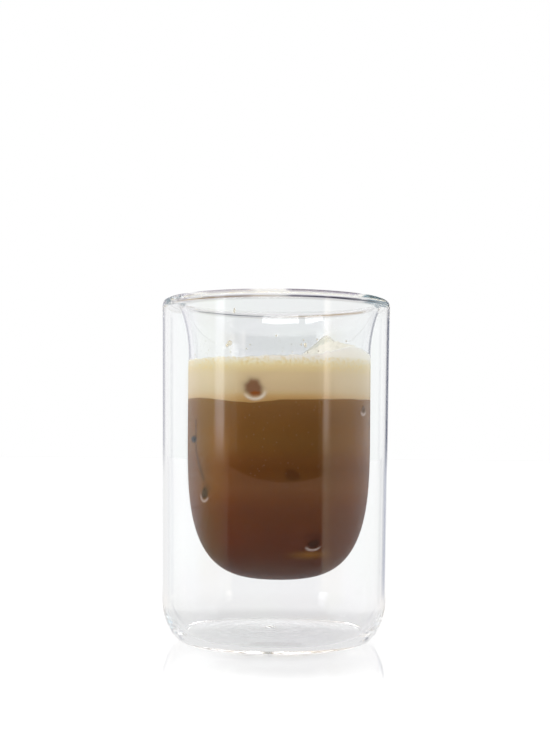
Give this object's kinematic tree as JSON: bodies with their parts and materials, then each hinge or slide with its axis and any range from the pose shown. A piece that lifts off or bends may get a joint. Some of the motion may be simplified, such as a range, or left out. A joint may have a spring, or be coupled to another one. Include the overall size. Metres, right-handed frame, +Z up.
{
  "type": "iced coffee in a double-walled glass",
  "caption": "Greek iced coffee: a clear double-walled glass tumbler filled with brown coffee, a tan foam layer heaped to one side and the corner of an ice cube standing out of it.",
  "frame": {"origin": "on the surface the glass stands on, under the axis of the outer wall", "axes": "+Z up along the glass; +X towards the side where the foam is heaped; -Y is the front"},
  "size_m": [0.074, 0.074, 0.11],
  "materials": {
    "borosilicate_glass": "clear, fire-polished",
    "seal_glass": "cloudy drop",
    "coffee": "opaque brown drink with milk",
    "milk_foam": "fine tan foam, paler on top",
    "ice": "clear, wet"
  },
  "bodies": {
    "root": {"glass": "borosilicate_glass", "vent_seal": "seal_glass", "coffee": "coffee", "foam": "milk_foam", "ice_cube": "ice"}
  },
  "joints": []
}
